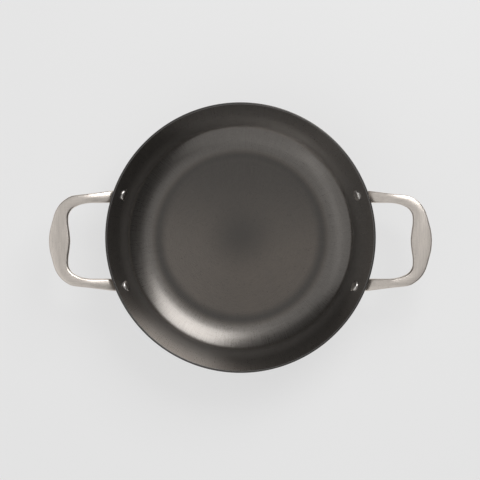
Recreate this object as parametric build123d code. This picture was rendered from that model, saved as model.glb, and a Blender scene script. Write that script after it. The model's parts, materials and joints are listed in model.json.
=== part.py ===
from build123d import *
from math import asin, atan, cos, radians, sin
import os

# Braiser: a wide, shallow steel pan with two cast loop handles, each held by two solid rivets.
# Millimetres. The origin is the middle of the underside, +Z is up, +X points to the right handle
# and +Y to the rear.

# Driving dimensions of the pan
rim_radius = 150.0        # outermost edge of the rim
depth = 68.0              # rim plane to cooking floor
shoulder_radius = 70.0    # wide inside curve that rises from the floor
bend_radius = 11.0        # tight inside curve from the shoulder up into the wall
shoulder_rise_share = 0.62  # slope of the shoulder where the bend takes over
wall_slope_share = 0.335  # how far the straight wall runs outwards, of its rise
sheet = 2.5               # thickness of the sheet
rim_outer_round = 0.9
rim_inner_round = 0.5

# Driving dimensions of a handle
handle_reach = 62.6       # rim to the outermost edge of the grip
handle_offset = -3.5      # middle line of both handles, from the pan's middle, along Y
grip_width = 23.6
grip_thickness = 8.0
grip_drop = 4.3           # rim plane to the middle of the grip's thickness
arm_spread = 47.0         # handle's middle line to an arm's, where the arm is narrowest
arm_width = 10.3
arm_thickness = 7.6
root_width = 13.5         # arm where it passes under the rim
root_thickness = 6.8
root_drop = 11.6          # rim plane to the middle of the arm there
bar_outer_round = 1.8     # edges of the bar away from the fingers
bar_inner_round = 2.8     # edges of the bar that the fingers touch
seat_overrun = 1.2        # how far a seat is made into the wall before it is cut to it

# Driving dimensions of an ear, the flat end of an arm on the wall
ear_width = 23.0
ear_straight = 4.0        # straight sides between the ear's round ends
ear_thickness = 4.0
ear_round = 1.3

# Driving dimensions of a rivet
rivet_spread = 52.0       # handle's middle line to a rivet
rivet_drop = 24.5         # rim plane to the rivet, on the inside of the wall
shank_radius = 3.2
head_radius = 6.7
head_height = 2.2
head_edge = 0.4           # upright edge under the head's dome
head_flat_radius = 3.1
tail_radius = 4.7
tail_height = 1.3
tail_flat_radius = 1.6
cut_overrun = 5.0         # how far cutting tools run past what they cut

# Sections of half a loop, from the middle of the grip along the arm.
# Columns: reach from the rim to the grip's middle line, spread from the handle's middle line,
# width from arm to grip, thickness from arm to grip, height from root to grip,
# then the heading and the downward slope in degrees.
loop_shares = [
    (1.000, 0.000, 1.000, 1.00, 1.00, 0.0, 0.0),
    (0.998, 0.219, 0.865, 1.00, 1.00, 3.5, 0.0),
    (0.985, 0.436, 0.571, 0.90, 1.00, 6.0, 0.0),
    (0.951, 0.638, 0.376, 0.70, 1.00, 15.0, 0.0),
    (0.876, 0.785, 0.286, 0.50, 1.00, 30.0, 0.0),
    (0.778, 0.881, 0.211, 0.30, 1.00, 52.0, 1.0),
    (0.693, 0.930, 0.188, 0.15, 0.99, 70.0, 3.0),
    (0.557, 0.971, 0.060, 0.05, 0.95, 77.0, 6.0),
    (0.372, 1.000, 0.000, 0.00, 0.83, 85.0, 12.0),
]
# Sections of the root of an arm: the same columns, but width and thickness go from arm to root
# and spread goes from arm to rivet.
root_shares = [
    (0.161, 0.18, 0.38, 0.30, 0.50, 86.0, 14.5),
    (-0.122, 0.386, 1.00, 1.00, 0.00, 86.0, 17.0),
]
# Sections that land on the wall. Columns: across and up the ear from its rivet, width and
# thickness of the ear's, and how far the bar has turned from the root's line to the wall's.
landing_shares = [
    (-0.21, 0.41, 0.61, 1.50, 0.5),
    (-0.16, 0.28, 0.70, 1.25, 1.0),
    (-0.12, 0.16, 0.74, 0.90, 1.0),
]
crown_share = 0.035       # rise of the bar's top and bottom faces, of its width
round_limit_share = 0.42  # most that a rounded edge takes of the bar's side

# Sizes that follow
height = depth + sheet
wall_lean = atan(wall_slope_share)
bend_lean = radians(90) - atan(shoulder_rise_share)
shoulder_height = sheet + shoulder_radius
bend_height = shoulder_height - (shoulder_radius - bend_radius) * sin(bend_lean)
rim_round_radius = rim_radius - rim_outer_round
rim_round_height = height - rim_outer_round
rim_round_rise = rim_round_height - bend_height
bend_line_radius = rim_round_radius - (
    bend_radius + sheet - rim_outer_round + rim_round_rise * sin(wall_lean)) / cos(wall_lean)
floor_radius = bend_line_radius - (shoulder_radius - bend_radius) * cos(bend_lean)
grip_line = handle_reach - grip_width / 2
grip_height = height - grip_drop
root_height = height - root_drop
ear_height = ear_width + ear_straight


def blend(low, high, share):
    return low + (high - low) * share


def wall_radius(outset, level):
    """Distance from the axis to the straight wall, at an outset from its inside face."""
    rise = level - bend_height
    return bend_line_radius + (bend_radius + outset + rise * sin(wall_lean)) / cos(wall_lean)


def arc_point(centre, radius, lean):
    """Point on a circle in the section, at an angle below the horizontal."""
    return (centre[0] + radius * cos(lean), centre[1] - radius * sin(lean))


def section_arc(centre, radius, first_lean, last_lean):
    middle_lean = (first_lean + last_lean) / 2
    leans = (first_lean, middle_lean, last_lean)
    return ThreePointArc(*[arc_point(centre, radius, lean) for lean in leans])


def curves(outset):
    """The shoulder and the bend, at an outset from the inside face."""
    shoulder_centre = (floor_radius, shoulder_height)
    bend_centre = (bend_line_radius, bend_height)
    return [
        section_arc(shoulder_centre, shoulder_radius + outset, radians(90), bend_lean),
        section_arc(bend_centre, bend_radius + outset, bend_lean, wall_lean),
    ]


def pan_section():
    """Half section of the sheet, from the middle of the floor to the rim."""
    outer = curves(sheet)
    inner = curves(0)
    rim_centre = (rim_round_radius, rim_round_height)
    rim_arc = section_arc(rim_centre, rim_outer_round, wall_lean, radians(-90))
    inner_rim = (wall_radius(0, height), height)
    edges = [
        Line((0, 0), outer[0] @ 0),
        *outer,
        Line(outer[-1] @ 1, rim_arc @ 0),
        rim_arc,
        Line(rim_arc @ 1, inner_rim),
        Line(inner_rim, inner[-1] @ 1),
        *inner,
        Line(inner[0] @ 0, (0, sheet)),
        Line((0, sheet), (0, 0)),
    ]
    section = make_face(edges)
    inner_corner = section.vertices().sort_by_distance(inner_rim)[0]
    return fillet(inner_corner, rim_inner_round)


def revolved(section):
    return revolve(Plane.XZ * section, Axis.Z)


def within(outset):
    """Everything within the pan's inside face or an outset from it, run on past the rim."""
    arcs = curves(outset)
    bottom = sheet - outset
    top = height + cut_overrun
    past_rim = (wall_radius(outset, top), top)
    edges = [
        Line((0, bottom), arcs[0] @ 0),
        *arcs,
        Line(arcs[-1] @ 1, past_rim),
        Line(past_rim, (0, top)),
        Line((0, top), (0, bottom)),
    ]
    return revolved(make_face(edges))


def wall_plane(end):
    """Plane on the outside of the wall at a right-hand rivet, with +Z outwards and +Y up the wall.

    The end is 1 for the rear rivet and -1 for the front one.
    """
    inside_level = height - rivet_drop
    radius = wall_radius(0, inside_level) + sheet * cos(wall_lean)
    level = inside_level - sheet * sin(wall_lean)
    along_y = handle_offset + end * rivet_spread
    azimuth = asin(along_y / radius)
    normal = Vector(cos(azimuth) * cos(wall_lean), sin(azimuth) * cos(wall_lean), -sin(wall_lean))
    tangent = Vector(-sin(azimuth), cos(azimuth), 0)
    return Plane(origin=(radius * cos(azimuth), along_y, level), x_dir=tangent, z_dir=normal)


def bar_section(origin, outward, upward, width, thickness):
    """Section of the cast bar: crowned top and bottom, softer edges on the fingers' side."""
    half_width = width / 2
    half_thickness = thickness / 2
    side = half_thickness - crown_share * width
    top = ThreePointArc((-half_width, side), (0, half_thickness), (half_width, side))
    bottom = ThreePointArc((half_width, -side), (0, -half_thickness), (-half_width, -side))
    section = make_face([top, Line(top @ 1, bottom @ 0), bottom, Line(bottom @ 1, top @ 0)])
    limit = 2 * side * round_limit_share
    outer_corners = section.vertices().sort_by(Axis.X)[-2:]
    section = fillet(outer_corners, min(bar_outer_round, limit))
    inner_corners = section.vertices().sort_by(Axis.X)[:2]
    section = fillet(inner_corners, min(bar_inner_round, limit))
    return Plane(origin=origin, x_dir=outward, z_dir=outward.cross(upward)) * section


def facing(heading, slope, end):
    """Outward and upward directions of a section, from its heading and slope in degrees."""
    turn = radians(heading)
    fall = radians(slope)
    outward = Vector(cos(turn), end * sin(turn), 0)
    upward = Vector(-sin(turn) * sin(fall), end * cos(turn) * sin(fall), cos(fall))
    return outward, upward


def loop_section(row, end, spreads, widths, thicknesses):
    reach, spread, wide, thick, lift, heading, slope = row
    origin = Vector(
        rim_radius + reach * grip_line,
        handle_offset + end * blend(*spreads, spread),
        blend(root_height, grip_height, lift),
    )
    outward, upward = facing(heading, slope, end)
    return bar_section(
        origin, outward, upward, blend(*widths, wide), blend(*thicknesses, thick))


def landing_section(row, end):
    across, up, wide, thick, turned = row
    wall = wall_plane(end)
    thickness = thick * ear_thickness
    stand_off = thickness / 2 - seat_overrun * turned
    origin = (wall.origin + wall.x_dir * (end * across * ear_width)
              + wall.y_dir * (up * ear_height) + wall.z_dir * stand_off)
    root_outward, root_upward = facing(*root_shares[-1][-2:], end)
    outward = blend(root_outward, wall.x_dir * end, turned).normalized()
    upward = blend(root_upward, -wall.z_dir, turned)
    upward = (upward - outward * upward.dot(outward)).normalized()
    return bar_section(origin, outward, upward, wide * ear_width, thickness)


def half_loop(end):
    """Sections from the middle of the grip to the ear at one end."""
    sections = [
        loop_section(
            row, end, (0, arm_spread), (arm_width, grip_width), (arm_thickness, grip_thickness))
        for row in loop_shares
    ]
    sections += [
        loop_section(
            row, end, (arm_spread, rivet_spread),
            (arm_width, root_width), (arm_thickness, root_thickness))
        for row in root_shares
    ]
    sections += [landing_section(row, end) for row in landing_shares]
    return sections


def rivet_hole(end):
    length = sheet + ear_thickness + 2 * cut_overrun
    middle = (ear_thickness - sheet) / 2
    return wall_plane(end) * Pos(0, 0, middle) * Cylinder(shank_radius, length)


def ear(end):
    """Flat oval end of an arm with its rivet hole, still run on into the wall."""
    outline = SlotCenterToCenter(ear_straight, ear_width, rotation=90)
    plate = extrude(outline, ear_thickness + seat_overrun)
    plate = fillet(plate.edges().group_by(Axis.Z)[-1], ear_round)
    return wall_plane(end) * Pos(0, 0, -seat_overrun) * plate - rivet_hole(end)


def handle():
    """The right-hand handle, in its place."""
    front = half_loop(-1)
    rear = half_loop(1)
    body = loft(front[::-1] + rear[1:])
    for end in (-1, 1):
        body += ear(end)
    return body - within(sheet)


def pan_body():
    body = revolved(pan_section())
    for end in (-1, 1):
        hole = rivet_hole(end)
        body -= hole
        body -= mirror(hole, about=Plane.YZ)
    return body


def domed_head(radius, flat_radius, rise):
    """Low head on the plane Z = 0, with a flat middle."""
    bend = ThreePointArc(
        (flat_radius, rise),
        (blend(flat_radius, radius, cos(radians(45))), rise * sin(radians(45))),
        (radius, 0),
    )
    edges = [
        Line((0, 0), (0, rise)),
        Line((0, rise), bend @ 0),
        bend,
        Line(bend @ 1, (0, 0)),
    ]
    return revolved(make_face(edges))


def rivet(end):
    """A right-hand rivet, in its place: head inside the pan, tail on the ear."""
    plane = wall_plane(end)
    head = Pos(0, 0, head_edge) * domed_head(
        head_radius, head_flat_radius, head_height - head_edge)
    head += Pos(0, 0, (head_edge - seat_overrun) / 2) * Cylinder(
        head_radius, head_edge + seat_overrun)
    head = plane * Pos(0, 0, -sheet) * Rot(180, 0, 0) * head & within(0)
    tail = Pos(0, 0, ear_thickness) * domed_head(tail_radius, tail_flat_radius, tail_height)
    shank_bottom = -sheet - head_height / 2
    shank_top = ear_thickness + tail_height / 2
    shank = Pos(0, 0, (shank_bottom + shank_top) / 2) * Cylinder(
        shank_radius, shank_top - shank_bottom)
    return head + plane * shank + plane * tail


def save(name, solid):
    solid.label = name
    export_step(solid, f"parts/{name}.step")


os.makedirs("parts", exist_ok=True)
right_handle = handle()
save("pan_body", pan_body())
save("handle_right", right_handle)
save("handle_left", mirror(right_handle, about=Plane.YZ))
for end, place in ((-1, "front"), (1, "rear")):
    right_rivet = rivet(end)
    save(f"rivet_right_{place}", right_rivet)
    save(f"rivet_left_{place}", mirror(right_rivet, about=Plane.YZ))
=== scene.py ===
import json
from math import asin, atan, cos, pi, radians, sin

import bmesh
import bpy
from mathutils import Matrix, Vector

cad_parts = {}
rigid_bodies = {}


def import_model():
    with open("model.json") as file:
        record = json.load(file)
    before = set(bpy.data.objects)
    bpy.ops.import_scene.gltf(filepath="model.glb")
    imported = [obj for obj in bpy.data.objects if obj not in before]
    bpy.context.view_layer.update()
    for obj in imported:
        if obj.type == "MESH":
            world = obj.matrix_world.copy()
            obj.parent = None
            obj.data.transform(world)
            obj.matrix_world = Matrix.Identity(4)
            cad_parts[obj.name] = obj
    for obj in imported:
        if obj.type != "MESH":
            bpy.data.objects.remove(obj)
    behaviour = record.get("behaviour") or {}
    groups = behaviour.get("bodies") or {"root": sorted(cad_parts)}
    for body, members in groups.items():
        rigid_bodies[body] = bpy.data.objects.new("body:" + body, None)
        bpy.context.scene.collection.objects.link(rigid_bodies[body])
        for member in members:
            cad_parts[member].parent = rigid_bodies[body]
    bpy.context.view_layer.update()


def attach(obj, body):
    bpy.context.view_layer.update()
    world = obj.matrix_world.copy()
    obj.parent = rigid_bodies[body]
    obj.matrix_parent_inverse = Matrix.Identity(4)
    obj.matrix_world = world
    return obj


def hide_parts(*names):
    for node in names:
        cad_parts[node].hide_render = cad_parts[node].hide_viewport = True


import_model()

MM = 0.001

# Sizes of the pan, in millimetres, as the solids have them.
RIM_RADIUS = 150.0
DEPTH = 68.0
SHOULDER_RADIUS = 70.0
BEND_RADIUS = 11.0
SHOULDER_RISE = 0.62
WALL_SLOPE = 0.335
SHEET = 2.5
RIM_OUTER_ROUND = 0.9
RIM_INNER_ROUND = 0.5

# Sizes of a handle.
HANDLE_REACH = 62.6
HANDLE_OFFSET = -3.5
GRIP_WIDTH = 23.6
GRIP_THICKNESS = 8.0
GRIP_DROP = 4.3
ARM_SPREAD = 47.0
ARM_WIDTH = 10.3
ARM_THICKNESS = 7.6
ROOT_WIDTH = 13.5
ROOT_THICKNESS = 6.8
ROOT_DROP = 11.6
BAR_OUTER_ROUND = 1.8
BAR_INNER_ROUND = 2.8
SEAT_OVERRUN = 1.2
EAR_WIDTH = 23.0
EAR_HEIGHT = 27.0
EAR_THICKNESS = 4.0
EAR_ROUND = 1.3
CROWN = 0.035
ROUND_LIMIT = 0.42

# Sizes of a rivet.
RIVET_SPREAD = 52.0
RIVET_DROP = 24.5
SHANK_RADIUS = 3.2
HEAD_RADIUS = 6.7
HEAD_HEIGHT = 2.2
HEAD_EDGE = 0.4
HEAD_FLAT_RADIUS = 3.1
HEAD_SINK = 0.15        # how far the head's edge reaches into the curved wall
TAIL_RADIUS = 4.7
TAIL_HEIGHT = 1.3
TAIL_FLAT_RADIUS = 1.6

# Half a loop from the middle of the grip: reach, spread, width, thickness and height shares,
# heading and slope in degrees.
LOOP_ROWS = [
    (1.000, 0.000, 1.000, 1.00, 1.00, 0.0, 0.0),
    (0.998, 0.219, 0.865, 1.00, 1.00, 3.5, 0.0),
    (0.985, 0.436, 0.571, 0.90, 1.00, 6.0, 0.0),
    (0.951, 0.638, 0.376, 0.70, 1.00, 15.0, 0.0),
    (0.876, 0.785, 0.286, 0.50, 1.00, 30.0, 0.0),
    (0.778, 0.881, 0.211, 0.30, 1.00, 52.0, 1.0),
    (0.693, 0.930, 0.188, 0.15, 0.99, 70.0, 3.0),
    (0.557, 0.971, 0.060, 0.05, 0.95, 77.0, 6.0),
    (0.372, 1.000, 0.000, 0.00, 0.83, 85.0, 12.0),
]
ROOT_ROWS = [
    (0.161, 0.180, 0.38, 0.30, 0.50, 86.0, 14.5),
    (-0.122, 0.386, 1.00, 1.00, 0.00, 86.0, 17.0),
]
# The arm flattens into its ear on the wall: across and up the ear, width, thickness, and how far
# it has turned from the arm's line to the wall's.
EAR_ROWS = [
    (-0.21, 0.41, 0.61, 1.50, 0.5),
    (-0.15, 0.27, 0.80, 1.36, 1.0),
    (-0.06, 0.14, 0.97, 1.30, 1.0),
    (0.00, 0.02, 1.00, 1.30, 1.0),
    (0.00, -0.10, 1.00, 1.30, 1.0),
    (0.00, -0.20, 0.95, 1.30, 1.0),
    (0.00, -0.30, 0.84, 1.30, 1.0),
    (0.00, -0.38, 0.70, 1.30, 1.0),
    (0.00, -0.44, 0.51, 1.28, 1.0),
    (0.00, -0.48, 0.30, 1.24, 1.0),
    (0.00, -0.499, 0.10, 1.18, 1.0),
]

HEIGHT = DEPTH + SHEET
WALL_LEAN = atan(WALL_SLOPE)
BEND_LEAN = radians(90) - atan(SHOULDER_RISE)
SHOULDER_HEIGHT = SHEET + SHOULDER_RADIUS
BEND_HEIGHT = SHOULDER_HEIGHT - (SHOULDER_RADIUS - BEND_RADIUS) * sin(BEND_LEAN)
RIM_ROUND_RADIUS = RIM_RADIUS - RIM_OUTER_ROUND
RIM_ROUND_HEIGHT = HEIGHT - RIM_OUTER_ROUND
BEND_LINE_RADIUS = RIM_ROUND_RADIUS - (
    BEND_RADIUS + SHEET - RIM_OUTER_ROUND
    + (RIM_ROUND_HEIGHT - BEND_HEIGHT) * sin(WALL_LEAN)) / cos(WALL_LEAN)
FLOOR_RADIUS = BEND_LINE_RADIUS - (SHOULDER_RADIUS - BEND_RADIUS) * cos(BEND_LEAN)
GRIP_LINE = HANDLE_REACH - GRIP_WIDTH / 2

# Faces round the pan and a rivet, and along each part of an outline.
TURN_STEPS = 192
RIVET_STEPS = 48
SHOULDER_STEPS = 14
BEND_STEPS = 12
WALL_STEPS = 6
PAST_RIM_STEPS = 4
RIM_STEPS = 8
LIP_STEPS = 5
DOME_STEPS = 10
RINGS_BETWEEN = 4      # rings of the handle for each row of its tables
ROUND_STEPS = 5        # faces of a rounded edge of the bar
CROWN_CUTS = 3         # cuts across each crowned face of the bar
# How far each step of the crown reaches from the face's middle, and its share of the rise.
CROWN_ROWS = ((0.3, 0.75), (0.1, 0.25))
CLOSE = 1e-6
DRAWING_REACH = 0.03   # how far a section reaches from the origin while it is drawn

# Edges sharper than these angles, in degrees, stay crisp.
PAN_SHARP = 32
HANDLE_SHARP = 50
RIVET_SHARP = 40

TURN_BREAKS = 7.0      # how often the fine turned lines break on their way round

# Where the zones of the finishes and of the painted light and shade start and end, in metres: by
# distance from the axis,
FLOOR_FADE = (0.086, 0.096)
# the floor's middle, darkened with a painted dark reflection
MIDDLE_SHADE_FADE = (0.0, 0.050)
# the ring at the floor's edge, darkened with painted shade
RING_SHADE_BAND = ((0.084, 0.095), (0.095, 0.104))
# the shoulder's band, where a lighter, even tone is laid on as painted sheen
SHOULDER_SHEEN_BAND = ((0.097, 0.106), (0.124, 0.134))
# the inside of the wall, made lighter with painted light
WALL_LIGHT_RISE = (0.128, 0.132)
# the bend into the wall, where a light line is laid on as painted highlight and the steel is
# rougher
BEND_HIGHLIGHT_BAND = ((0.1275, 0.1305), (0.1325, 0.1390))
# the rim's outer rounding, darkened with painted shade
RIM_SHADE_RISE = (0.1478, 0.1485)
# by distance from the axis less the wall's lean, and by X, Y, Z and distance along X.
INSIDE_FADE = (0.1252, 0.1256)
# the left of the floor is made lighter with painted light
LEFT_LIGHT_FADE = (-0.090, 0.010)
# the rear of the floor is darkened with painted shade
REAR_SHADE_RISE = (-0.030, 0.080)
RIM_RISE = (0.0700, 0.0704)
GRIP_RISE = (0.184, 0.200)

# Painted light and shade laid on the pan's zones, in the order in which they are laid on: share and
# colour.
# A dark tone laid on as painted shade.
PAINTED_SHADE_TONE = (0.040, 0.037, 0.034)
PAINTED_LIGHT_TINTS = {
    # Painted light: the left of the floor lighter.
    "left": (0.5, (0.196, 0.172, 0.150)),
    # Painted sheen: a lighter, even tone on the shoulder, under its bright band.
    "shoulder": (1.0, (0.146, 0.133, 0.120)),
    # Painted shade: a dark ring where the floor turns into the shoulder.
    "ring": (0.8, (0.050, 0.046, 0.042)),
    # Painted shade: the rear of the floor darker.
    "rear": (0.7, PAINTED_SHADE_TONE),
    # Painted shade: the middle of the floor darker, a painted reflection of the dark overhead.
    "middle": (0.6, PAINTED_SHADE_TONE),
    # Painted light: the inside of the wall lighter, in place of what it reflects.
    "wall": (0.8, (0.384, 0.365, 0.349)),
    # Painted highlight: a light line along the bend into the wall.
    "bend": (0.28, (0.600, 0.580, 0.560)),
}

# The floor under the pan, in metres, and the dome round it.
FLOOR_SIZE = 12
FLOOR_TONE = 0.22
FLOOR_ROUGHNESS = 0.9
FLOOR_GLOW = 0.62
DOME_LOW = 0.053
DOME_OVERHEAD = 0.53
DOME_EDGE = (0.73, 0.84)
DOME_LEAN_X = -0.07
DOME_LEAN_Y = 0.04

# The camera, in millimetres: distance above the rim, shift from the axis, width of the view there.
CAMERA_DISTANCE = 1500
CAMERA_SHIFT = (-0.54, -2.66)
VIEW_WIDTH = 531.6
SENSOR_WIDTH = 36

# Soft lamps: azimuth and elevation in degrees, distance, width and height in metres, radiance.
LAMPS = {
    "key_lamp": (60, 48, 1.6, 0.85, 0.90, 5.1),
    "low_lamp": (61, 16, 1.6, 0.9, 0.45, 2.0),
    "front_lamp": (262, 34, 1.8, 2.2, 1.7, 0.57),
    "left_lamp": (190, 34, 1.8, 2.2, 1.7, 0.52),
}


# Selecting, cutting and copying pieces

def deselect_objects():
    for item in bpy.context.view_layer.objects:
        item.select_set(False)


def enter_edit():
    bpy.ops.object.mode_set(mode="EDIT")


def leave_edit():
    bpy.ops.object.mode_set(mode="OBJECT")


def select_only(piece):
    deselect_objects()
    piece.select_set(True)
    bpy.context.view_layer.objects.active = piece


def new_piece(name):
    """Add a small plane and open it in edit mode. Whatever is drawn replaces it."""
    deselect_objects()
    bpy.ops.mesh.primitive_plane_add(size=MM)
    piece = bpy.context.object
    piece.name = name
    piece.data.name = name
    enter_edit()
    return piece


def select_where(piece, wanted, kind="verts"):
    """Select the vertices, edges or faces that a test picks, and nothing else."""
    bpy.ops.mesh.select_all(action="DESELECT")
    mesh = bmesh.from_edit_mesh(piece.data)
    for item in getattr(mesh, kind):
        if wanted(item):
            item.select_set(True)
    if kind == "verts":
        mesh.select_flush(True)
    bmesh.update_edit_mesh(piece.data)


def tidy_shell():
    """Merge doubles and turn all faces outwards."""
    bpy.ops.mesh.select_all(action="SELECT")
    bpy.ops.mesh.remove_doubles(threshold=CLOSE)
    bpy.ops.mesh.normals_make_consistent(inside=False)


def finish_surface(piece, sharp):
    select_only(piece)
    bpy.ops.object.shade_smooth_by_angle(angle=radians(sharp))


def apply_place(piece):
    select_only(piece)
    bpy.ops.object.transform_apply(location=True, rotation=True, scale=True)


def cut_away(piece, cutter):
    """Take the cutter's shape out of the piece and delete the cutter."""
    select_only(piece)
    cut = piece.modifiers.new("cut", "BOOLEAN")
    cut.operation = "DIFFERENCE"
    cut.solver = "EXACT"
    cut.object = cutter
    bpy.ops.object.modifier_apply(modifier=cut.name)
    bpy.data.objects.remove(cutter)


def copied(piece, name):
    twin = piece.copy()
    twin.data = piece.data.copy()
    twin.name = name
    twin.data.name = name
    bpy.context.collection.objects.link(twin)
    return twin


def mirrored(piece, name):
    """Copy a right-hand piece to the left side."""
    twin = copied(piece, name)
    twin.scale = (-1, 1, 1)
    apply_place(twin)
    enter_edit()
    bpy.ops.mesh.select_all(action="SELECT")
    bpy.ops.mesh.normals_make_consistent(inside=False)
    leave_edit()
    return twin


# Outlines

def blend(low, high, share):
    return low + (high - low) * share


def wall_radius(outset, level):
    """Distance from the axis to the straight wall, at an outset from its inside face."""
    rise = level - BEND_HEIGHT
    return BEND_LINE_RADIUS + (BEND_RADIUS + outset + rise * sin(WALL_LEAN)) / cos(WALL_LEAN)


def arc_points(centre, radius, first, last, steps):
    """Points on a circle in the section, by angle below the horizontal."""
    points = []
    for step in range(steps + 1):
        lean = blend(first, last, step / steps)
        points.append((centre[0] + radius * cos(lean), centre[1] - radius * sin(lean)))
    return points


def line_points(start, end, steps):
    """Points after the start and before the end of a straight run."""
    return [
        (blend(start[0], end[0], step / steps), blend(start[1], end[1], step / steps))
        for step in range(1, steps)]


def curve_points(outset):
    """The shoulder and the bend, at an outset from the inside face."""
    shoulder = arc_points(
        (FLOOR_RADIUS, SHOULDER_HEIGHT), SHOULDER_RADIUS + outset, radians(90), BEND_LEAN,
        SHOULDER_STEPS)
    bend = arc_points(
        (BEND_LINE_RADIUS, BEND_HEIGHT), BEND_RADIUS + outset, BEND_LEAN, WALL_LEAN, BEND_STEPS)
    return shoulder + bend[1:]


def spun(name, outline, steps):
    """Draw half a section from one vertex and spin it into a closed shell."""
    piece = new_piece(name)
    bpy.ops.mesh.select_all(action="SELECT")
    bpy.ops.mesh.merge(type="CENTER")
    bpy.ops.transform.translate(value=(outline[0][0] * MM, 0, outline[0][1] * MM))
    for start, end in zip(outline, outline[1:]):
        move = ((end[0] - start[0]) * MM, 0, (end[1] - start[1]) * MM)
        bpy.ops.mesh.extrude_region_move(TRANSFORM_OT_translate={"value": move})
    bpy.ops.mesh.select_all(action="SELECT")
    bpy.ops.mesh.spin(steps=steps, angle=2 * pi, center=(0, 0, 0), axis=(0, 0, 1))
    tidy_shell()
    leave_edit()
    return piece


# The pan

def pan_outline():
    outer = curve_points(SHEET)
    inner = curve_points(0)
    rim_centre = (RIM_ROUND_RADIUS, RIM_ROUND_HEIGHT)
    rim = arc_points(rim_centre, RIM_OUTER_ROUND, WALL_LEAN, radians(-90), RIM_STEPS)
    inner_rim_x = wall_radius(0, HEIGHT)
    half_corner = (radians(90) + WALL_LEAN) / 2
    setback = RIM_INNER_ROUND / (sin(half_corner) / cos(half_corner))
    lip_centre = (inner_rim_x + setback, HEIGHT - RIM_INNER_ROUND)
    lip = arc_points(
        lip_centre, RIM_INNER_ROUND, radians(-90), radians(-180) + WALL_LEAN, LIP_STEPS)
    outline = [(0, 0), (FLOOR_RADIUS / 2, 0)]
    outline += outer + line_points(outer[-1], rim[0], WALL_STEPS) + rim
    outline += lip + line_points(lip[-1], inner[-1], WALL_STEPS) + inner[::-1]
    outline += [(FLOOR_RADIUS * 0.75, SHEET), (FLOOR_RADIUS / 2, SHEET), (FLOOR_RADIUS / 4, SHEET)]
    return outline + [(0, SHEET)]


def wall_frame(end):
    """Point and directions on the outside of the wall at a right-hand rivet.

    The end is 1 for the rear rivet and -1 for the front one. The columns of the matrix point
    round the pan, up the wall and straight out of it.
    """
    inside_level = HEIGHT - RIVET_DROP
    radius = wall_radius(0, inside_level) + SHEET * cos(WALL_LEAN)
    level = inside_level - SHEET * sin(WALL_LEAN)
    along_y = HANDLE_OFFSET + end * RIVET_SPREAD
    azimuth = asin(along_y / radius)
    out = Vector((cos(azimuth) * cos(WALL_LEAN), sin(azimuth) * cos(WALL_LEAN), -sin(WALL_LEAN)))
    round_pan = Vector((-sin(azimuth), cos(azimuth), 0))
    axes = Matrix((round_pan, out.cross(round_pan), out)).transposed()
    return Vector((radius * cos(azimuth), along_y, level)), axes


def hole_cutters(ends_and_sides):
    """One cutter with a rod through each rivet hole."""
    rods = []
    for end, side in ends_and_sides:
        origin, axes = wall_frame(end)
        deselect_objects()
        bpy.ops.mesh.primitive_cylinder_add(
            vertices=RIVET_STEPS, radius=SHANK_RADIUS * MM, depth=4 * EAR_THICKNESS * MM,
            location=origin * MM, rotation=axes.to_euler())
        rod = bpy.context.object
        apply_place(rod)
        if side < 0:
            twin = mirrored(rod, "rod_twin")
            bpy.data.objects.remove(rod)
            rod = twin
        rods.append(rod)
    deselect_objects()
    for rod in rods:
        rod.select_set(True)
    bpy.context.view_layer.objects.active = rods[0]
    bpy.ops.object.join()
    return bpy.context.object


def make_pan():
    pan = spun("pan_sheet", pan_outline(), TURN_STEPS)
    cut_away(pan, hole_cutters([(-1, 1), (1, 1), (-1, -1), (1, -1)]))
    finish_surface(pan, PAN_SHARP)
    return pan


def inside_of_wall():
    """Everything within the pan's outer surface, run on past the rim."""
    outer = curve_points(SHEET)
    top = HEIGHT + EAR_HEIGHT
    past_rim = (wall_radius(SHEET, top), top)
    wall = line_points(outer[-1], past_rim, PAST_RIM_STEPS)
    outline = [(0, 0)] + outer + wall + [past_rim, (0, top)]
    return spun("inside_of_wall", outline, TURN_STEPS)


# The handles

def facing(heading, slope, end):
    turn = radians(heading)
    fall = radians(slope)
    outward = Vector((cos(turn), end * sin(turn), 0))
    upward = Vector((-sin(turn) * sin(fall), end * cos(turn) * sin(fall), cos(fall)))
    return outward, upward


def bar_station(row, end, spreads, widths, thicknesses):
    """Place, directions and sizes of one section: a flat list of numbers, easy to blend."""
    reach, spread, wide, thick, lift, heading, slope = row
    place = Vector((
        RIM_RADIUS + reach * GRIP_LINE,
        HANDLE_OFFSET + end * blend(*spreads, spread),
        blend(HEIGHT - ROOT_DROP, HEIGHT - GRIP_DROP, lift)))
    outward, upward = facing(heading, slope, end)
    rounds = [BAR_OUTER_ROUND, BAR_INNER_ROUND, CROWN]
    return [*place, *outward, *upward, blend(*widths, wide), blend(*thicknesses, thick), *rounds]


def ear_station(row, end):
    across, up, wide, thick, turned = row
    origin, axes = wall_frame(end)
    round_pan, up_wall, out = axes.col[0], axes.col[1], axes.col[2]
    thickness = thick * EAR_THICKNESS
    place = (origin + round_pan * (end * across * EAR_WIDTH) + up_wall * (up * EAR_HEIGHT)
             + out * (thickness / 2 - SEAT_OVERRUN * turned))
    root_outward, root_upward = facing(*ROOT_ROWS[-1][-2:], end)
    outward = root_outward.lerp(round_pan * end, turned).normalized()
    upward = root_upward.lerp(-out, turned)
    upward = (upward - outward * upward.dot(outward)).normalized()
    rounds = [blend(BAR_OUTER_ROUND, EAR_ROUND, turned), blend(BAR_INNER_ROUND, EAR_ROUND, turned)]
    return [*place, *outward, *upward, wide * EAR_WIDTH, thickness, *rounds, CROWN * (1 - turned)]


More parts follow.
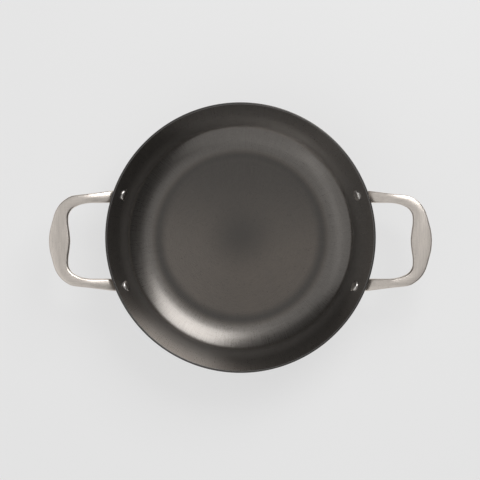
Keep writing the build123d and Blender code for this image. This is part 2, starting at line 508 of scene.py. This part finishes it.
def half_stations(end):
    stations = [
        bar_station(row, end, (0, ARM_SPREAD), (ARM_WIDTH, GRIP_WIDTH),
                    (ARM_THICKNESS, GRIP_THICKNESS)) for row in LOOP_ROWS]
    stations += [
        bar_station(row, end, (ARM_SPREAD, RIVET_SPREAD), (ARM_WIDTH, ROOT_WIDTH),
                    (ARM_THICKNESS, ROOT_THICKNESS)) for row in ROOT_ROWS]
    return stations + [ear_station(row, end) for row in EAR_ROWS]


def smooth_between(stations, count):
    """Fill in stations along a smooth curve through the given ones."""
    filled = []
    last = len(stations) - 1
    for index in range(last):
        before = stations[max(index - 1, 0)]
        start, end = stations[index], stations[index + 1]
        after = stations[min(index + 2, last)]
        for step in range(count):
            t = step / count
            filled.append([
                b + 0.5 * t * (c - a + t * (2 * a - 5 * b + 4 * c - d + t * (3 * (b - c) + d - a)))
                for a, b, c, d in zip(before, start, end, after)])
    return filled + [stations[last]]


def in_drawing(vert):
    """A section is drawn flat at the origin, away from the rings that are already in place."""
    return vert.co.length < DRAWING_REACH


def draw_section(piece, width, side, rise, outer_round, inner_round):
    """Draw a rounded, crowned outline flat at the origin, with +X away from the fingers."""
    bpy.ops.mesh.select_all(action="DESELECT")
    bpy.ops.mesh.primitive_plane_add(size=1)
    bpy.ops.transform.resize(value=(width, side, 1), center_override=(0, 0, 0))
    for sign, size in ((1, outer_round), (-1, inner_round)):
        edge = sign * width / 2
        select_where(piece, lambda vert: in_drawing(vert) and abs(vert.co.x - edge) < CLOSE)
        bpy.ops.mesh.bevel(
            offset=size, segments=ROUND_STEPS, affect="VERTICES", offset_type="OFFSET",
            clamp_overlap=False)
    select_where(piece, in_drawing)
    bpy.ops.mesh.delete(type="ONLY_FACE")
    select_where(
        piece, lambda line: all(
            in_drawing(vert) and abs(abs(vert.co.y) - side / 2) < CLOSE for vert in line.verts),
        "edges")
    bpy.ops.mesh.subdivide(number_cuts=CROWN_CUTS)
    middle = (inner_round - outer_round) / 2
    run = width - inner_round - outer_round
    for reach, share in CROWN_ROWS:
        select_where(piece, lambda vert: in_drawing(vert) and abs(vert.co.x - middle) < run * reach)
        stretch = 1 + share * rise / (side / 2)
        bpy.ops.transform.resize(value=(1, stretch, 1), center_override=(0, 0, 0))
    select_where(piece, in_drawing)


def add_ring(piece, station):
    """Draw one section of the bar, then turn it and move it to its place."""
    outward = Vector(station[3:6]).normalized()
    upward = Vector(station[6:9])
    upward = (upward - outward * upward.dot(outward)).normalized()
    width, thickness, outer_round, inner_round, crown = station[9:14]
    side = thickness - 2 * crown * width
    limit = min(side, width) * ROUND_LIMIT
    draw_section(
        piece, width * MM, side * MM, crown * width * MM,
        min(outer_round, limit) * MM, min(inner_round, limit) * MM)
    turned = Matrix((outward, upward, outward.cross(upward))).transposed().to_euler()
    for axis, angle in zip("XYZ", turned):
        bpy.ops.transform.rotate(value=-angle, orient_axis=axis, center_override=(0, 0, 0))
    bpy.ops.transform.translate(value=Vector(station[0:3]) * MM)


def make_handle():
    """The right-hand handle: rings from ear to ear, bridged, capped and seated on the wall."""
    handle = new_piece("handle_right_cast")
    bpy.ops.mesh.delete(type="VERT")
    front = half_stations(-1)
    rear = half_stations(1)
    for station in smooth_between(front[::-1] + rear[1:], RINGS_BETWEEN):
        add_ring(handle, station)
    bpy.ops.mesh.select_all(action="SELECT")
    bpy.ops.mesh.bridge_edge_loops()
    bpy.ops.mesh.select_all(action="SELECT")
    bpy.ops.mesh.fill_holes(sides=0)
    tidy_shell()
    leave_edit()
    cut_away(handle, inside_of_wall())
    cut_away(handle, hole_cutters([(-1, 1), (1, 1)]))
    finish_surface(handle, HANDLE_SHARP)
    return handle


# The rivets

def rivet_outline():
    """Head inside the wall, shank and set tail on the ear; zero is the outside of the wall."""
    def dome(radius, flat, rise, base, sign):
        return [
            (blend(flat, radius, cos(lean)), base + sign * rise * sin(lean))
            for lean in (radians(90) * step / DOME_STEPS for step in range(DOME_STEPS + 1))]
    edge = -SHEET - HEAD_EDGE
    head = dome(HEAD_RADIUS, HEAD_FLAT_RADIUS, HEAD_HEIGHT - HEAD_EDGE, edge, -1)
    tail = dome(TAIL_RADIUS, TAIL_FLAT_RADIUS, TAIL_HEIGHT, EAR_THICKNESS, 1)
    outline = [(0, -SHEET - HEAD_HEIGHT)] + head[::-1]
    outline += [(HEAD_RADIUS, -SHEET + HEAD_SINK), (SHANK_RADIUS, -SHEET + HEAD_SINK)]
    return outline + [(SHANK_RADIUS, EAR_THICKNESS)] + tail + [(0, EAR_THICKNESS + TAIL_HEIGHT)]


def make_rivet(end, name):
    rivet = spun(name, rivet_outline(), RIVET_STEPS)
    origin, axes = wall_frame(end)
    rivet.rotation_euler = axes.to_euler()
    rivet.location = origin * MM
    apply_place(rivet)
    finish_surface(rivet, RIVET_SHARP)
    return rivet


# Finishes

def new_group(name, inputs, outputs):
    """A shader node group with named sockets. Returns it with its entry and leaving nodes."""
    group = bpy.data.node_groups.new(name, "ShaderNodeTree")
    for socket_name, kind, default in inputs:
        socket = group.interface.new_socket(
            socket_name, in_out="INPUT", socket_type=f"NodeSocket{kind}")
        if default is not None:
            socket.default_value = default
    for socket_name, kind in outputs:
        group.interface.new_socket(
            socket_name, in_out="OUTPUT", socket_type=f"NodeSocket{kind}")
    return group, group.nodes.new("NodeGroupInput"), group.nodes.new("NodeGroupOutput")


def add_math(tree, operation, *values):
    """Add a Math node. Each value is a number or an output socket."""
    node = tree.nodes.new("ShaderNodeMath")
    node.operation = operation
    for socket, value in zip(node.inputs, values):
        if hasattr(value, "links"):
            tree.links.new(value, socket)
        else:
            socket.default_value = value
    return node.outputs[0]


def add_scaled(tree, value, times, plus):
    """Add a value times a factor plus an offset."""
    return add_math(tree, "MULTIPLY_ADD", value, times, plus)


def add_step(tree, value, start, end, low=0.0, high=1.0):
    """Add a smooth step of a value, in the units of that value."""
    node = tree.nodes.new("ShaderNodeMapRange")
    node.interpolation_type = "SMOOTHSTEP"
    tree.links.new(value, node.inputs["Value"])
    for name, number in (("From Min", start), ("From Max", end), ("To Min", low), ("To Max", high)):
        node.inputs[name].default_value = number
    return node.outputs["Result"]


def add_fade(tree, value, start, end):
    """Add a mask that falls from white to black over a range of a value."""
    return add_step(tree, value, start, end, low=1.0, high=0.0)


def add_band(tree, value, rise, fall):
    """Add a mask that rises over the first range of a value and falls over the second."""
    return add_math(tree, "MULTIPLY", add_step(tree, value, *rise), add_fade(tree, value, *fall))


def add_mix(tree, share, first, second):
    """Add a colour mix. Each colour is a tuple or an output socket."""
    node = tree.nodes.new("ShaderNodeMix")
    node.data_type = "RGBA"
    tree.links.new(share, node.inputs[0])
    for socket, color in ((node.inputs[6], first), (node.inputs[7], second)):
        if hasattr(color, "links"):
            tree.links.new(color, socket)
        else:
            socket.default_value = (*color, 1)
    return node.outputs[2]


def add_tint(tree, color, mask, share, tone):
    """Mix a share of a tone into a colour where a mask is white."""
    return add_mix(tree, add_math(tree, "MULTIPLY", mask, share), color, tone)


def add_noise(tree, vector, scale=1.0, detail=3.0, roughness=0.6):
    node = tree.nodes.new("ShaderNodeTexNoise")
    tree.links.new(vector, node.inputs["Vector"])
    for name, value in (("Scale", scale), ("Detail", detail), ("Roughness", roughness)):
        if hasattr(value, "links"):
            tree.links.new(value, node.inputs[name])
        else:
            node.inputs[name].default_value = value
    return node.outputs["Fac"]


def add_stretch(tree, vector, scale):
    node = tree.nodes.new("ShaderNodeMapping")
    tree.links.new(vector, node.inputs["Vector"])
    node.inputs["Scale"].default_value = scale
    return node.outputs["Vector"]


def add_vector_math(tree, operation, vector, output):
    node = tree.nodes.new("ShaderNodeVectorMath")
    node.operation = operation
    tree.links.new(vector, node.inputs[0])
    return node.outputs[output]


def split(tree, vector):
    """The X, Y and Z of a vector, by name."""
    node = tree.nodes.new("ShaderNodeSeparateXYZ")
    tree.links.new(vector, node.inputs[0])
    return node.outputs


def join(tree, *values):
    node = tree.nodes.new("ShaderNodeCombineXYZ")
    for socket, value in zip(node.inputs, values):
        tree.links.new(value, socket)
    return node.outputs[0]


def round_axis_group():
    """Distance from the pan's axis, fine streaks that run out from it and fine turned lines."""
    group, entry, leave = new_group(
        "round_axis", [("Vector", "Vector", None), ("Lines", "Float", 250.0),
                       ("Breaks", "Float", 60.0), ("Turns", "Float", 900.0)],
        [("Radius", "Float"), ("Streaks", "Float"), ("Turned", "Float")])
    vector, lines, breaks, turns = (
        entry.outputs[name] for name in ("Vector", "Lines", "Breaks", "Turns"))
    flat = add_stretch(group, vector, (1, 1, 0))
    radius = add_vector_math(group, "LENGTH", flat, "Value")
    unit = split(group, add_vector_math(group, "NORMALIZE", flat, "Vector"))
    spread = join(
        group, add_math(group, "MULTIPLY", unit["X"], lines),
        add_math(group, "MULTIPLY", unit["Y"], lines), add_math(group, "MULTIPLY", radius, breaks))
    run = add_math(group, "ADD", radius, split(group, vector)["Z"])
    turned = join(
        group, add_math(group, "MULTIPLY", unit["X"], TURN_BREAKS),
        add_math(group, "MULTIPLY", unit["Y"], TURN_BREAKS),
        add_math(group, "MULTIPLY", run, turns))
    group.links.new(radius, leave.inputs["Radius"])
    group.links.new(add_noise(group, spread), leave.inputs["Streaks"])
    group.links.new(add_noise(group, turned), leave.inputs["Turned"])
    return group


def metal_surface_group():
    """Fine grain, soft clouds and small flecks that every metal here shows at its own scale."""
    group, entry, leave = new_group(
        "metal_surface", [("Vector", "Vector", None), ("Grain Scale", "Float", 900.0),
                          ("Cloud Scale", "Float", 14.0), ("Fleck Scale", "Float", 600.0)],
        [("Grain", "Float"), ("Clouds", "Float"), ("Flecks", "Float")])
    vector = entry.outputs["Vector"]
    grain = add_noise(group, vector, entry.outputs["Grain Scale"], detail=4.0)
    clouds = add_noise(group, vector, entry.outputs["Cloud Scale"], roughness=0.5)
    specks = add_noise(group, vector, entry.outputs["Fleck Scale"], detail=1.0, roughness=0.3)
    flecks = add_step(group, specks, 0.66, 0.74)
    for name, value in (("Grain", grain), ("Clouds", clouds), ("Flecks", flecks)):
        group.links.new(value, leave.inputs[name])
    return group


def start_metal(name, groups):
    """A metal with its shader, its object coordinates and one node for each group."""
    material = bpy.data.materials.new(name)
    material.use_nodes = True
    tree = material.node_tree
    shader = tree.nodes["Principled BSDF"]
    shader.inputs["Metallic"].default_value = 1.0
    place = tree.nodes.new("ShaderNodeTexCoord").outputs["Object"]
    used = []
    for group, values in groups:
        node = tree.nodes.new("ShaderNodeGroup")
        node.node_tree = group
        tree.links.new(place, node.inputs["Vector"])
        for socket_name, value in values.items():
            node.inputs[socket_name].default_value = value
        used.append(node.outputs)
    return material, tree, shader, place, used


def end_metal(tree, shader, color, rough, height, strength, distance):
    """Connect the colour, the roughness and the bump of a metal."""
    bump = tree.nodes.new("ShaderNodeBump")
    bump.inputs["Strength"].default_value = strength
    bump.inputs["Distance"].default_value = distance
    tree.links.new(height, bump.inputs["Height"])
    tree.links.new(bump.outputs["Normal"], shader.inputs["Normal"])
    tree.links.new(color, shader.inputs["Base Color"])
    tree.links.new(rough, shader.inputs["Roughness"])


def pan_zones(tree, radius, place):
    """Masks of the pan's zones, where its light and shade are painted: all by distance from the
    axis, some by place as well.
    """
    at = split(tree, place)
    on_floor = add_fade(tree, radius, *FLOOR_FADE)
    past_wall = add_scaled(tree, at["Z"], -WALL_SLOPE, radius)
    inside = add_fade(tree, past_wall, *INSIDE_FADE)
    leftward = add_fade(tree, at["X"], *LEFT_LIGHT_FADE)
    rearward = add_step(tree, at["Y"], *REAR_SHADE_RISE)
    return {
        "shoulder": add_band(tree, radius, *SHOULDER_SHEEN_BAND),
        "ring": add_band(tree, radius, *RING_SHADE_BAND),
        "middle": add_fade(tree, radius, *MIDDLE_SHADE_FADE),
        "left": add_math(tree, "MULTIPLY", leftward, on_floor),
        "rear": add_math(tree, "MULTIPLY", rearward, on_floor),
        "wall": add_math(tree, "MULTIPLY", add_step(tree, radius, *WALL_LIGHT_RISE), inside),
        "bend": add_math(tree, "MULTIPLY", add_band(tree, radius, *BEND_HIGHLIGHT_BAND), inside),
        "rim": add_step(tree, at["Z"], *RIM_RISE),
    }


def pan_color(tree, radius, zones, axis, skin):
    """Warm floor with a dark ring of painted shade at its edge, the inside of the wall lighter with
    painted light, the rim darker outwards with painted shade, and more painted light and shade on
    the floor, shoulder and bend.
    """
    color = add_mix(tree, skin["Clouds"], (0.116, 0.102, 0.089), (0.156, 0.130, 0.108))
    for zone, (share, tone) in PAINTED_LIGHT_TINTS.items():
        color = add_tint(tree, color, zones[zone], share, tone)
    color = add_tint(tree, color, skin["Flecks"], 0.35, (0.05, 0.045, 0.042))
    # Lighter streaks: faint brushing marks everywhere, made stronger in the shoulder's bright band
    # as painted sheen.
    streak_sheen_strength = add_scaled(tree, zones["shoulder"], times=0.16, plus=0.06)
    streaks = add_step(tree, axis["Streaks"], 0.35, 0.68)
    color = add_tint(tree, color, streaks, streak_sheen_strength, (0.270, 0.257, 0.243))
    turned_dark = add_step(tree, axis["Turned"], 0.36, 0.60, low=0.14, high=0.0)
    color = add_mix(tree, turned_dark, color, (0.050, 0.046, 0.043))
    # Painted shade: the rim's outer rounding darker than its top.
    rim_painted_shade = add_step(tree, radius, *RIM_SHADE_RISE)
    rim_color = add_mix(tree, rim_painted_shade, (0.150, 0.142, 0.134), (0.030, 0.028, 0.026))
    return add_tint(tree, color, zones["rim"], 0.9, rim_color)


def pan_finish(round_axis, surface):
    """Dark satin steel under a thin clear layer, with streaks that run outwards, and light and
    shade painted into its colour.
    """
    material, tree, shader, place, (axis, skin) = start_metal(
        "dark_satin_steel",
        [(round_axis, {"Lines": 260.0, "Breaks": 70.0, "Turns": 1100.0}),
         (surface, {"Grain Scale": 1100.0, "Cloud Scale": 12.0, "Fleck Scale": 520.0})])
    zones = pan_zones(tree, axis["Radius"], place)
    color = pan_color(tree, axis["Radius"], zones, axis, skin)
    rough = add_scaled(tree, axis["Streaks"], times=0.10, plus=0.20)
    rough = add_scaled(tree, skin["Grain"], times=0.08, plus=rough)
    rough = add_scaled(tree, zones["bend"], times=0.07, plus=rough)
    streak_depth = add_scaled(tree, zones["shoulder"], times=0.22, plus=0.08)
    height = add_scaled(tree, axis["Streaks"], times=streak_depth, plus=skin["Grain"])
    end_metal(tree, shader, color, rough, height, strength=0.35, distance=0.00004)
    for name, value in (("Metallic", 0.94), ("Coat Weight", 0.9), ("Coat Roughness", 0.22),
                        ("Coat IOR", 1.5)):
        shader.inputs[name].default_value = value
    return material


def handle_finish(surface):
    """Satin cast steel, brushed along the grip and along the arms."""
    material, tree, shader, place, (skin,) = start_metal(
        "satin_cast_steel",
        [(surface, {"Grain Scale": 1500.0, "Cloud Scale": 60.0, "Fleck Scale": 900.0})])
    along_grip = add_noise(tree, add_stretch(tree, place, (900, 45, 900)))
    along_arm = add_noise(tree, add_stretch(tree, place, (45, 900, 900)))
    brush = tree.nodes.new("ShaderNodeMix")
    from_middle = add_math(tree, "ABSOLUTE", split(tree, place)["X"])
    tree.links.new(add_step(tree, from_middle, *GRIP_RISE), brush.inputs[0])
    tree.links.new(along_arm, brush.inputs[2])
    tree.links.new(along_grip, brush.inputs[3])
    brushed = brush.outputs[0]
    color = add_mix(tree, skin["Clouds"], (0.75, 0.688, 0.625), (0.82, 0.752, 0.69))
    dark_lines = add_step(tree, brushed, 0.40, 0.62, low=0.16, high=0.0)
    color = add_mix(tree, dark_lines, color, (0.36, 0.33, 0.30))
    color = add_tint(tree, color, skin["Flecks"], 0.3, (0.3, 0.27, 0.25))
    rough = add_scaled(tree, brushed, times=0.18, plus=0.25)
    end_metal(tree, shader, color, rough, brushed, strength=0.3, distance=0.00004)
    return material


def rivet_finish(surface):
    """Polished steel with fine scratches and a faint haze."""
    material, tree, shader, place, (skin,) = start_metal(
        "polished_rivet_steel",
        [(surface, {"Grain Scale": 2600.0, "Cloud Scale": 300.0, "Fleck Scale": 1500.0})])
    color = add_mix(tree, skin["Clouds"], (0.70, 0.675, 0.65), (0.78, 0.755, 0.73))
    color = add_tint(tree, color, skin["Flecks"], 0.3, (0.35, 0.33, 0.31))
    rough = add_scaled(tree, skin["Grain"], times=0.14, plus=0.17)
    end_metal(tree, shader, color, rough, skin["Grain"], strength=0.2, distance=0.00002)
    return material


# The studio

def add_lamp(name, azimuth, elevation, distance, width, height, radiance):
    """A rectangular soft lamp that faces the pan. Its power follows from its brightness."""
    deselect_objects()
    lean = radians(elevation)
    turn = radians(azimuth)
    place = Vector((cos(turn) * cos(lean), sin(turn) * cos(lean), sin(lean))) * distance
    bpy.ops.object.light_add(type="AREA", location=place)
    lamp = bpy.context.object
    lamp.name = name
    lamp.data.shape = "RECTANGLE"
    lamp.data.size = width
    lamp.data.size_y = height
    lamp.data.energy = radiance * pi * width * height
    lamp.rotation_euler = place.to_track_quat("Z", "Y").to_euler()


def set_camera():
    """Straight above the pan, a little off its axis as in the photograph."""
    deselect_objects()
    shift_x, shift_y = CAMERA_SHIFT
    place = (shift_x * MM, shift_y * MM, (HEIGHT + CAMERA_DISTANCE) * MM)
    bpy.ops.object.camera_add(location=place)
    camera = bpy.context.object
    camera.name = "camera_overhead"
    camera.rotation_euler = (0, 0, 0)
    camera.data.sensor_width = SENSOR_WIDTH
    camera.data.lens = SENSOR_WIDTH * CAMERA_DISTANCE / VIEW_WIDTH
    bpy.context.scene.camera = camera


def set_floor():
    """A pale floor that looks even and still takes the pan's shadow."""
    deselect_objects()
    bpy.ops.mesh.primitive_plane_add(size=FLOOR_SIZE)
    floor = bpy.context.object
    floor.name = "floor"
    material = bpy.data.materials.new("pale_floor")
    material.use_nodes = True
    tree = material.node_tree
    shader = tree.nodes["Principled BSDF"]
    shader.inputs["Base Color"].default_value = (FLOOR_TONE, FLOOR_TONE, FLOOR_TONE, 1)
    shader.inputs["Roughness"].default_value = FLOOR_ROUGHNESS
    shader.inputs["Specular IOR Level"].default_value = 0.0
    shader.inputs["Emission Color"].default_value = (1, 1, 1, 1)
    path = tree.nodes.new("ShaderNodeLightPath")
    seen = add_math(tree, "MAXIMUM", path.outputs["Is Camera Ray"], path.outputs["Is Glossy Ray"])
    seen = add_math(tree, "MAXIMUM", seen, path.outputs["Is Transmission Ray"])
    glow = add_math(tree, "MULTIPLY", seen, FLOOR_GLOW)
    tree.links.new(glow, shader.inputs["Emission Strength"])
    floor.data.materials.append(material)


def set_world():
    """A soft studio dome, brighter overhead, with an edge that leans a little to one side."""
    world = bpy.data.worlds.new("studio")
    world.use_nodes = True
    tree = world.node_tree
    toward = split(tree, tree.nodes.new("ShaderNodeTexCoord").outputs["Generated"])
    leaning = add_scaled(tree, toward["X"], DOME_LEAN_X, toward["Z"])
    leaning = add_scaled(tree, toward["Y"], DOME_LEAN_Y, leaning)
    overhead = add_step(tree, leaning, *DOME_EDGE)
    color = add_mix(tree, overhead, (DOME_LOW,) * 3, (DOME_OVERHEAD,) * 3)
    tree.links.new(color, tree.nodes["Background"].inputs["Color"])
    bpy.context.scene.world = world


# Everything in its place

set_camera()
set_floor()
set_world()
for name, values in LAMPS.items():
    add_lamp(name, *values)

pan = make_pan()
handle_right = make_handle()
handle_left = mirrored(handle_right, "handle_left_cast")
finish_surface(handle_left, HANDLE_SHARP)
pieces = [(pan, "pan_body", "pan_steel"), (handle_right, "handle_right", "handle_steel"),
          (handle_left, "handle_left", "handle_steel")]
for end, place in ((-1, "front"), (1, "rear")):
    rivet = make_rivet(end, f"rivet_right_{place}_set")
    twin = mirrored(rivet, f"rivet_left_{place}_set")
    finish_surface(twin, RIVET_SHARP)
    pieces.append((rivet, f"rivet_right_{place}", "rivet_steel"))
    pieces.append((twin, f"rivet_left_{place}", "rivet_steel"))

surface = metal_surface_group()
finishes = {
    "pan_steel": pan_finish(round_axis_group(), surface),
    "handle_steel": handle_finish(surface),
    "rivet_steel": rivet_finish(surface),
}
for piece, node, slot in pieces:
    piece.data.materials.clear()
    piece.data.materials.append(finishes[slot])
    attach(piece, "root")
    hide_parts(node)

scene = bpy.context.scene
scene.view_settings.view_transform = "Standard"
